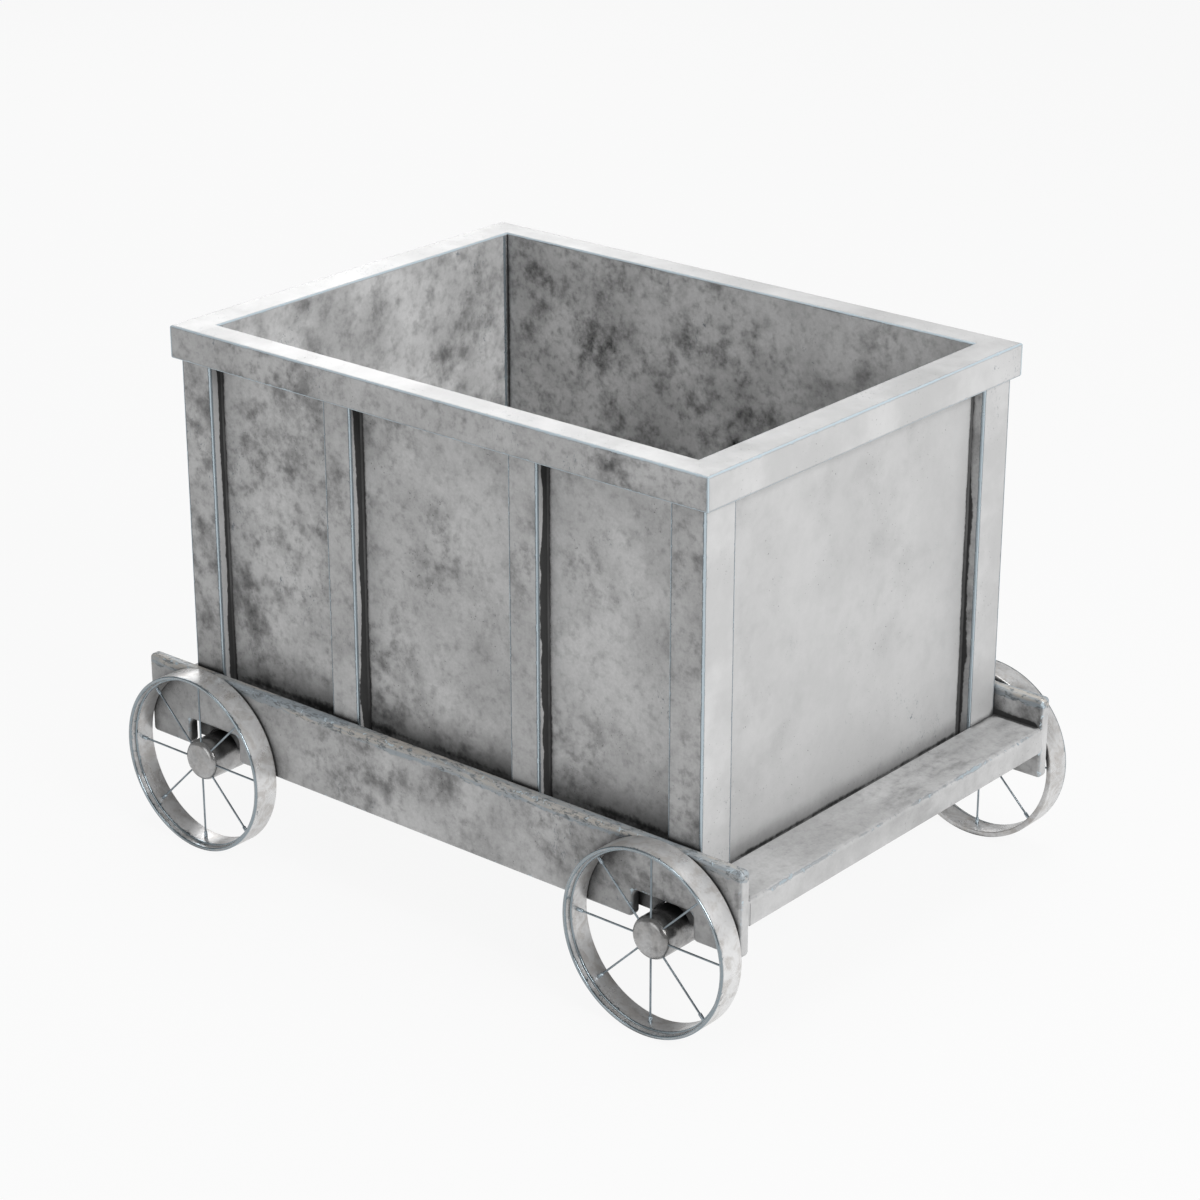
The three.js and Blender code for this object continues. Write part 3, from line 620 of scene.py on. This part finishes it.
WHEEL = galvanised("zinc_wheel", 8, light=0.70, dark=0.58, spots=0.35, stains=0.5, rust=0.4,
                   rings=WHEEL_EDGES, edge_width=2.6 * MM, edge_level=0.6, edge_border=0.35,
                   crevice=(0.02, 0.42, 0.70), roughness=(0.25, 0.40), metallic=0.6, bump=0.12)
SPOKE = galvanised("zinc_spoke", 9, light=0.42, dark=0.32, hue=(0.86, 1.0, 1.1), chips=0,
                   crevice=(0.004, 0.4, 0.6), roughness=(0.25, 0.4), metallic=0.9, bump=0.1)
UNDER = galvanised("zinc_underframe", 10, light=0.33, dark=0.22, stains=0.7,
                   crevice=(0.03, 0.55, 0.8))
HUB = galvanised("zinc_hub", 13, light=0.50, dark=0.31, spots=0.7, stains=0.8, ends=1.0, rust=0.15,
                 chips=0, crevice=(0.03, 0.5, 0.8), roughness=(0.17, 0.30), metallic=0.82, bump=0.15)
NIPPLE = galvanised("zinc_nipple", 14, light=0.55, dark=0.47, hue=(0.86, 1.0, 1.1), chips=0,
                    crevice=(0.002, 0.2, 0.4), roughness=(0.22, 0.32), metallic=0.8, bump=0.1)
# The weld beads are coloured near-black as painted shade, going on from the painted crease shade beside
# them.
SHADED_BEAD = galvanised("zinc_bead", 15, light=0.085, dark=0.04, chips=0, crevice=(0.001, 0.1, 0.2), bump=0.4)
STEEL = plain_metal("oiled_steel", 11, 0.22, 0.12, 0.9, (0.3, 0.5))
BRONZE = plain_metal("bearing_bronze", 12, 0.30, 0.16, 0.9, (0.3, 0.5), (1.3, 1.0, 0.55))

# ---- Pieces ----------------------------------------------------------------------------------


def outwards(name, axis, sign):
    """A node's near and far levels along an axis, counted out from the cart's middle."""
    low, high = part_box(name)
    return (low[axis], high[axis]) if sign > 0 else (-high[axis], -low[axis])


def signed(corners, sx, sy):
    """Corners mirrored into another quarter of the plan, wound the same way as before."""
    flipped = [(sx * c[0], sy * c[1], *c[2:]) for c in corners]
    return flipped if sx * sy > 0 else flipped[::-1]


def build_folded(kind, corners, low, high, material):
    """A section folded from sheet and drawn out along Z, in each quarter of the plan."""
    for end, sx, side, sy in QUARTERS:
        name = f"{kind}_{end}_{side}"
        bm = prism(rounded(signed(corners, sx, sy)), low, high, (0, 1, 2))
        weighted(piece(f"{name}_folded", mesh_of(name, bm), material, "sheet_steel", "chassis", name))


def build_posts():
    """Corner posts: angles folded from sheet, whose inner edges meet the skins."""
    low, high = POST_LOW, POST_HIGH
    build_folded("corner_post", [
        (low.x, SIDE_SKIN_FACE),
        (low.x, high.y, SHEET_EDGE),
        (high.x, high.y, SHEET_EDGE),
        (high.x, low.y, SHEET_EDGE),
        (END_SKIN_FACE, low.y, SHEET_EDGE / 2),
        (END_SKIN_FACE, low.y + SHEET),
        (high.x - SHEET, low.y + SHEET),
        (high.x - SHEET, high.y - SHEET),
        (low.x + SHEET, high.y - SHEET),
        (low.x + SHEET, SIDE_SKIN_FACE),
    ], low.z, high.z, POST)


def build_battens():
    """Side battens: shallow folded channels, open towards the skin."""
    low, high = BATTEN_LOW, BATTEN_HIGH
    build_folded("side_batten", [
        (low.x + SHEET, SIDE_SKIN_FACE),
        (low.x + SHEET, high.y - SHEET),
        (high.x - SHEET, high.y - SHEET),
        (high.x - SHEET, SIDE_SKIN_FACE),
        (high.x, SIDE_SKIN_FACE),
        (high.x, high.y, SHEET_EDGE),
        (low.x, high.y, SHEET_EDGE),
        (low.x, SIDE_SKIN_FACE),
    ], low.z, high.z, BATTEN)


def build_rim():
    """Rim members: rounded hollow sections that meet in mitres, flush with the liners inside."""
    members = [(name, sign, 0, 1) for name, sign in SIDES] + [(name, sign, 1, 0) for name, sign in ENDS]
    for name, sign, along, across in members:
        inner, outer = outwards(f"rim_{name}", across, sign)
        reach, corner = outwards("rim_front" if along == 0 else "rim_left", along, 1)
        slope = (corner - reach) / (outer - inner)
        section = rounded([
            (inner, RIM_LOW.z),
            (outer, RIM_LOW.z, RIM_EDGE),
            (outer, RIM_HIGH.z, RIM_EDGE),
            (inner, RIM_HIGH.z, RIM_EDGE),
        ])
        bm = bmesh.new()
        rings = []
        for end in (-1, 1):
            ring = []
            for u, z in section:
                point = Vector((0, 0, z))
                point[across] = sign * u
                point[along] = end * (reach + slope * (u - inner))
                ring.append(bm.verts.new(point))
            rings.append(ring)
            bm.faces.new(ring)
        for i, vert in enumerate(rings[0]):
            j = (i + 1) % len(section)
            face = bm.faces.new((vert, rings[0][j], rings[1][j], rings[1][i]))
            if j == 0:  # the inner face, which goes on as the liner
                face.material_index = 1
        mesh = mesh_of(f"rim_{name}", bm)
        weighted(piece(f"rim_{name}_bar", mesh, RIM, "frame_steel", "chassis", f"rim_{name}"))
        mesh.materials.append(LINER)


def build_liners():
    """Liner sheets that run up to the rim without a step and meet in the corners."""
    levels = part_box("side_liner_left")[0].z, RIM_LOW.z
    reach = MOUTH_Y + SHEET
    for side, sy in SIDES:
        build_liner(f"side_liner_{side}", (-MOUTH_X, MOUTH_X), (sy * MOUTH_Y, sy * reach), levels)
    for end, sx in ENDS:
        build_liner(f"end_liner_{end}", (sx * MOUTH_X, sx * (MOUTH_X + SHEET)), (-reach, reach), levels)


def build_liner(name, xs, ys, zs):
    """One liner sheet between pairs of limits."""
    mesh = mesh_of(name, sheet_box(xs, ys, zs))
    piece(f"{name}_sheet", mesh, LINER, "sheet_steel", "chassis", name)


def sheet_box(xs, ys, zs):
    """A thin closed box between pairs of limits."""
    bm = bmesh.new()
    verts = [bm.verts.new((x, y, z)) for x in sorted(xs) for y in sorted(ys) for z in sorted(zs)]
    for face in ((0, 1, 3, 2), (4, 6, 7, 5), (0, 4, 5, 1), (2, 3, 7, 6), (0, 2, 6, 4), (1, 5, 7, 3)):
        bm.faces.new([verts[i] for i in face])
    return bm


def notch(centre):
    """The outline's corners around one axle notch."""
    return [
        (centre - NOTCH_HALF_WIDTH, RAIL_LOW.z, NOTCH_FOOT_RADIUS),
        (centre - NOTCH_HALF_WIDTH, NOTCH_TOP, NOTCH_TOP_RADIUS),
        (centre + NOTCH_HALF_WIDTH, NOTCH_TOP, NOTCH_TOP_RADIUS),
        (centre + NOTCH_HALF_WIDTH, RAIL_LOW.z, NOTCH_FOOT_RADIUS),
    ]


def build_rails():
    """Side rails: thick plates with a notch over each axle and rounded edges."""
    for side, _ in SIDES:
        name = f"side_rail_{side}"
        low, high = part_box(name)
        outline = rounded([
            (low.x, high.z, RAIL_CORNER),
            (low.x, low.z, RAIL_CORNER),
            *notch(-NOTCH_X),
            *notch(NOTCH_X),
            (high.x, low.z, RAIL_CORNER),
            (high.x, high.z, RAIL_CORNER),
        ], 8)
        bm = prism(outline, low.y, high.y, (0, 2, 1), RAIL_EDGE, 5)
        weighted(piece(f"{name}_plate", mesh_of(name, bm), RAIL, "frame_steel", "chassis", name))


def build_sills():
    """End sills: channels with a rounded upper outer edge."""
    low, high = SILL_LOW, SILL_HIGH
    corners = [
        (low.x, low.z),
        (low.x, high.z),
        (high.x, high.z, SILL_EDGE),
        (high.x, low.z, SILL_FOOT_EDGE),
        (high.x - SILL_WALL, low.z, SILL_FOOT_EDGE),
        (high.x - SILL_WALL, high.z - SILL_WALL),
        (low.x + SILL_WALL, high.z - SILL_WALL),
        (low.x + SILL_WALL, low.z),
    ]
    for end, sx in ENDS:
        name = f"end_sill_{end}"
        outline = rounded([(sx * c[0], *c[1:]) for c in corners], 6)
        bm = prism(outline, low.y, high.y, (0, 2, 1))
        weighted(piece(f"{name}_channel", mesh_of(name, bm), SILL, "frame_steel", "chassis", name))


def build_sill_welds():
    """Welds that close each sill's open ends against the rails' rounded ends.

    A weld stays a little inside the outer faces of the sill and the rail, and below the sill's top.
    """
    bm = bmesh.new()
    near_x = RAIL_HIGH.x - RAIL_EDGE - WELD_DEPTH
    near_y, far_y = RAIL_LOW.y - WELD_LAP, RAIL_LOW.y + RAIL_EDGE
    corners = [
        (near_x, near_y),
        (SILL_HIGH.x - 0.5 * MM, near_y, 1 * MM),
        (RAIL_HIGH.x - 1.2 * MM, far_y, 2 * MM),
        (near_x, far_y),
    ]
    for _, sx, _, sy in QUARTERS:
        outline = rounded([(sx * c[0], sy * c[1], *c[2:]) for c in corners])
        weld = prism(outline, SILL_LOW.z + 1 * MM, SILL_HIGH.z - 2 * MM, (0, 1, 2), 1 * MM, 2)
        part = bpy.data.meshes.new("part")
        weld.to_mesh(part)
        weld.free()
        bm.from_mesh(part)
        bpy.data.meshes.remove(part)
    piece("sill_welds", mesh_of("sill_welds", bm), SILL, "frame_steel", "chassis")


def add_bead(bm, x, y, dx, dy):
    """A bead along Z in the corner at x, y, open towards dx, dy."""
    bead = [(0, 0), (FILLET, 0), (FILLET * FILLET_HOLLOW, FILLET * FILLET_HOLLOW), (0, FILLET)]
    levels = POST_LOW.z, POST_HIGH.z
    rings = [[bm.verts.new((x + dx * u, y + dy * v, z)) for u, v in bead] for z in levels]
    for ring in rings:
        bm.faces.new(ring)
    for i in range(len(bead)):
        j = (i + 1) % len(bead)
        bm.faces.new((rings[0][i], rings[0][j], rings[1][j], rings[1][i]))


def build_beads():
    """The thin weld beads where posts and battens meet the skins."""
    bm = bmesh.new()
    for _, sx, _, sy in QUARTERS:
        add_bead(bm, sx * POST_LOW.x, sy * SIDE_SKIN_FACE, -sx, sy)
        add_bead(bm, sx * BATTEN_LOW.x, sy * SIDE_SKIN_FACE, -sx, sy)
        add_bead(bm, sx * BATTEN_HIGH.x, sy * SIDE_SKIN_FACE, sx, sy)
        add_bead(bm, sx * END_SKIN_FACE, sy * POST_LOW.y, sx, -sy)
    piece("weld_beads", mesh_of("weld_beads", bm, 60), SHADED_BEAD, "sheet_steel", "chassis")


def carry_over():
    """CAD nodes whose shape is already right take their finish here."""
    finishes = {
        "side_skin": SKIN, "end_skin": END_SKIN, "floor_liner": LINER, "floor_plate": UNDER,
        "side_bearer": UNDER, "end_bearer": UNDER, "axle_bolster": UNDER, "axle_keeper": UNDER,
        "axle_front": STEEL, "axle_rear": STEEL, "axle_nut": STEEL, "hub_bush": BRONZE,
    }
    for name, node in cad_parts.items():
        for start, material in finishes.items():
            if name.startswith(start):
                node.data.materials.clear()
                node.data.materials.append(material)


def turned(profile, sy, steps, centre, closed=True):
    """A body of revolution from a profile (radius, y) given for the cart's left side."""
    return lathed([(radius, sy * y) for radius, y in profile], steps, centre, closed)


def build_wheel_rim(body, corner, centre, sy):
    """The rim: flat tread, outer lip, a rebate, and the band that the spokes pull on.

    Its section's corners are (radius, y, rounding).
    """
    inner, outer = outwards(f"wheel_rim_{corner}", 1, sy)
    rebate = outer - WHEEL_REBATE
    profile = rounded([
        (BAND_RADIUS, inner, 2.2 * MM),
        (WHEEL_RADIUS, inner, 2.4 * MM),
        (WHEEL_RADIUS, outer, 1.8 * MM),
        (LIP_RADIUS, outer, 2.0 * MM),
        (LIP_RADIUS, rebate, 0.8 * MM),
        (BAND_RADIUS, rebate, 1.4 * MM),
    ], 4)
    rim = mesh_of("wheel_rim", turned(profile, sy, WHEEL_STEPS, centre))
    piece(f"{body}_rim", rim, WHEEL, "wheel_steel", body, f"wheel_rim_{corner}")


def build_hub(body, corner, centre, sy):
    """The hub barrel, with a pocket for the axle nut, and the cap that ends its rounded edge."""
    inner, outer = outwards(f"wheel_spider_{corner}", 1, sy)
    cap_inner, cap_face = outwards(f"hub_cap_{corner}", 1, sy)
    _, pocket = outwards(f"hub_bush_{corner}", 1, sy)
    bush_low, bush_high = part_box(f"hub_bush_{corner}")
    bush_radius = (bush_high.x - bush_low.x) / 2
    rounding = (HUB_RADIUS - HUB_EDGE, cap_face - HUB_EDGE)
    seam = math.asin((outer - rounding[1]) / HUB_EDGE)
    barrel = [
        (bush_radius, inner),
        (HUB_RADIUS - HUB_CHAMFER, inner),
        (HUB_RADIUS, inner + HUB_CHAMFER),
        *arc(rounding, HUB_EDGE, 0, seam, 4),
        (POCKET_RADIUS, outer),
        (POCKET_RADIUS, pocket),
        (bush_radius, pocket),
    ]
    hub = mesh_of("hub_barrel", turned(barrel, sy, HUB_STEPS, centre), 50)
    piece(f"{body}_hub", hub, HUB, "wheel_steel", body, f"wheel_spider_{corner}")

    spigot = POCKET_RADIUS - SPIGOT_GAP
    disc = [
        (0, cap_face - CAP_THICKNESS),
        (spigot - SPIGOT_WALL, cap_face - CAP_THICKNESS),
        (spigot - SPIGOT_WALL, cap_inner),
        (spigot, cap_inner),
        (spigot, outer),
        *arc(rounding, HUB_EDGE, seam, math.pi / 2, 8),
        (0, cap_face),
    ]
    cap = mesh_of("hub_cap", turned(disc, sy, HUB_STEPS, centre, closed=False), 50)
    piece(f"{body}_cap", cap, HUB, "wheel_steel", body, f"hub_cap_{corner}")


def build_wheel(corner, sy):
    """One wheel: rim, hub, cap, spokes and their nipples."""
    body = f"wheel_{corner}"
    low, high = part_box(f"wheel_rim_{corner}")
    centre = (low + high) / 2
    build_wheel_rim(body, corner, centre, sy)
    build_hub(body, corner, centre, sy)
    spoke = [(SPOKE_RADIUS, HUB_RADIUS - SPOKE_ROOT), (SPOKE_RADIUS, BAND_RADIUS)]
    build_rods(f"{body}_spokes", body, centre, sy, spoke, SPOKE)
    root = BAND_RADIUS - NIPPLE_LENGTH
    nipple = [
        (NIPPLE_RADIUS - NIPPLE_CHAMFER, root),
        (NIPPLE_RADIUS, root + NIPPLE_CHAMFER),
        (NIPPLE_RADIUS, BAND_RADIUS + NIPPLE_SEAT),
    ]
    build_rods(f"{body}_nipples", body, centre, sy, nipple, NIPPLE)


def build_rods(name, body, centre, sy, levels, material):
    """Round rods that stand out from the hub, one per spoke, from levels (thickness, reach)."""
    bm = bmesh.new()
    for k in range(SPOKE_COUNT):
        spin = Matrix.Rotation(2 * math.pi * k / SPOKE_COUNT, 4, "Y")
        rings = []
        for radius, reach in levels:
            ring = []
            for i in range(ROD_SIDES):
                angle = 2 * math.pi * i / ROD_SIDES
                offset = Vector((reach, radius * math.cos(angle), radius * math.sin(angle)))
                point = spin @ offset + Vector((centre.x, sy * SPOKE_OFFSET, centre.z))
                ring.append(bm.verts.new(point))
            rings.append(ring)
        bm.faces.new(rings[0])
        bm.faces.new(rings[-1])
        for near, far in zip(rings, rings[1:]):
            for i in range(ROD_SIDES):
                j = (i + 1) % ROD_SIDES
                bm.faces.new((near[i], near[j], far[j], far[i]))
    piece(name, mesh_of(name, bm, 60), material, "wheel_steel", body)


# ---- Stage -----------------------------------------------------------------------------------


def area_light(name, place, aim, size, power):
    """A round soft light at a place, aimed at a point."""
    light = bpy.data.lights.new(name, "AREA")
    light.shape = "DISK"
    light.size = size
    light.energy = power
    lamp = bpy.data.objects.new(name, light)
    lamp.location = place
    lamp.rotation_euler = (Vector(aim) - Vector(place)).to_track_quat("-Z", "Y").to_euler()
    bpy.context.scene.collection.objects.link(lamp)


def build_floor():
    """A pale floor that glows a little, so that it reads as a white studio sweep."""
    mesh = bpy.data.meshes.new("floor")
    corners = [(FLOOR_REACH * x, FLOOR_REACH * y, 0) for x, y in ((-1, -1), (1, -1), (1, 1), (-1, 1))]
    mesh.from_pydata(corners, [], [(0, 1, 2, 3)])
    floor = bpy.data.objects.new("floor", mesh)
    bpy.context.scene.collection.objects.link(floor)
    paper = bpy.data.materials.new("studio_floor")
    paper.use_nodes = True
    shader = paper.node_tree.nodes["Principled BSDF"]
    shader.inputs["Base Color"].default_value = (0.03, 0.03, 0.03, 1)
    shader.inputs["Roughness"].default_value = 0.9
    shader.inputs["Specular IOR Level"].default_value = 0.0
    shader.inputs["Emission Color"].default_value = (1, 1, 1, 1)
    shader.inputs["Emission Strength"].default_value = 0.918
    mesh.materials.append(paper)


def build_lights():
    """Soft studio light: a dim grey world and four area lights."""
    world = bpy.data.worlds.new("studio")
    world.use_nodes = True
    background = world.node_tree.nodes["Background"]
    background.inputs["Color"].default_value = (0.955, 0.957, 0.96, 1)
    background.inputs["Strength"].default_value = 0.32
    bpy.context.scene.world = world
    area_light("key", (5.0, -0.8, 3.4), (0, 0, 0.5), 3.0, 305)
    area_light("fill", (-1.0, -6.5, 1.6), (0, 0, 0.6), 4.0, 75)
    area_light("top", (0.3, 0.4, 6.0), (0, 0, 0.5), 4.0, 270)
    area_light("back", (-5.5, 4.6, 3.4), (0, 0, 0.9), 3.6, 105)


def build_camera():
    """The camera, at its distance from the target along the line of sight."""
    camera = bpy.data.cameras.new("camera")
    camera.lens = CAMERA_LENS
    camera.sensor_width = 36
    camera.clip_end = 100
    azimuth, elevation = math.radians(CAMERA_AZIMUTH), math.radians(CAMERA_ELEVATION)
    level = math.cos(elevation)
    back = Vector((math.sin(azimuth) * level, -math.cos(azimuth) * level, math.sin(elevation)))
    view = bpy.data.objects.new("camera", camera)
    view.location = CAMERA_TARGET + back * CAMERA_DISTANCE
    view.rotation_euler = (math.pi / 2 - elevation, 0, azimuth)
    bpy.context.scene.collection.objects.link(view)
    bpy.context.scene.camera = view
    bpy.context.scene.view_settings.view_transform = "Standard"


build_posts()
build_battens()
build_rim()
build_liners()
build_rails()
build_sills()
build_sill_welds()
build_beads()
for end_name, _, side_name, side_sign in QUARTERS:
    build_wheel(f"{end_name}_{side_name}", side_sign)
carry_over()
build_floor()
build_lights()
build_camera()
